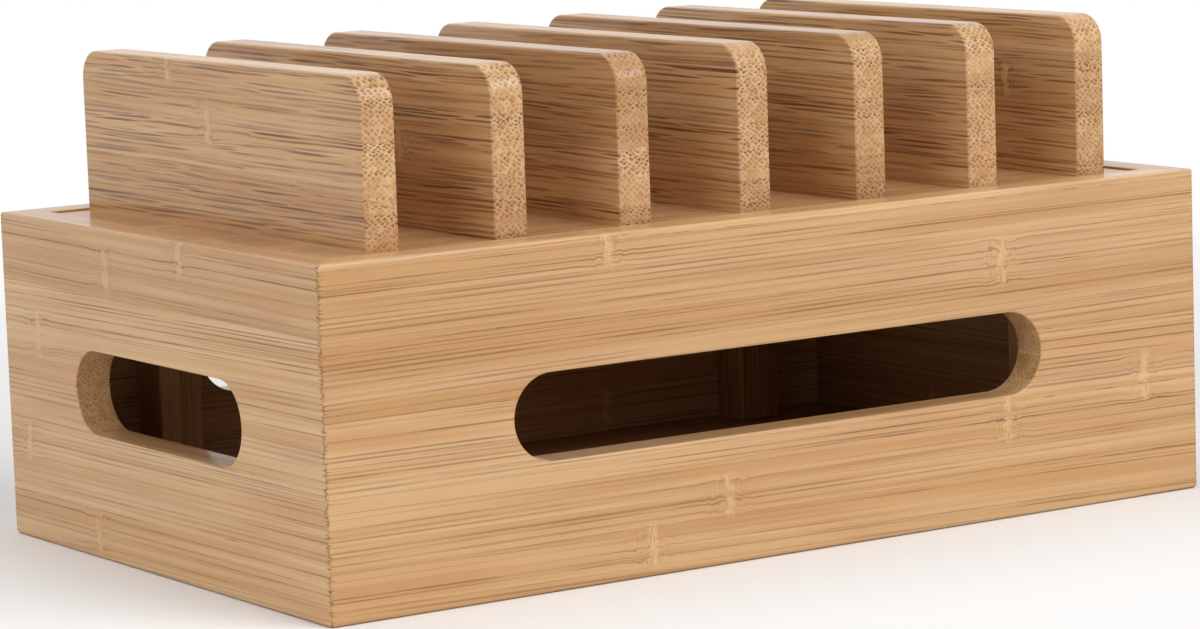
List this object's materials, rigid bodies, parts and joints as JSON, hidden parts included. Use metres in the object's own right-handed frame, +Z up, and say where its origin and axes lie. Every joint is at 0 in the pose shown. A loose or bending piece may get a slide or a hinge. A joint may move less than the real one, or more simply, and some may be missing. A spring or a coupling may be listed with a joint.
{
  "type": "charging station organizer",
  "caption": "Mitred bamboo box with round-ended cable openings on three sides and a lift-off lid whose upright dividers form open bays for phones and tablets.",
  "frame": {"origin": "centre of the box's footprint, on the surface that it stands on", "axes": "+X to the right along the long front, +Y from the front to the back, +Z up; the front faces -Y"},
  "size_m": [0.284, 0.178, 0.1355],
  "materials": {
    "wall_bamboo": "satin lacquered side-pressed bamboo",
    "lid_bamboo": "satin lacquered side-pressed bamboo",
    "divider_bamboo": "satin lacquered side-pressed bamboo with bare end grain",
    "inner_bamboo": "thinly lacquered bamboo",
    "screw_steel": "zinc plated"
  },
  "bodies": {
    "base": {"front_wall": "wall_bamboo", "back_wall": "wall_bamboo", "left_wall": "wall_bamboo", "right_wall": "wall_bamboo", "bottom_panel": "inner_bamboo", "post_front_left": "inner_bamboo", "post_front_right": "inner_bamboo", "post_back_left": "inner_bamboo", "post_back_right": "inner_bamboo"},
    "lid": {"lid_panel": "lid_bamboo", "divider_1": "divider_bamboo", "divider_2": "divider_bamboo", "divider_3": "divider_bamboo", "divider_4": "divider_bamboo", "divider_5": "divider_bamboo", "divider_6": "divider_bamboo", "divider_7": "divider_bamboo", "divider_screws": "screw_steel"}
  },
  "joints": [
    {"name": "lid_lift", "type": "slide", "parent": "base", "child": "lid", "axis": [0, 0, 1], "range_m": [0, 0.08]}
  ]
}
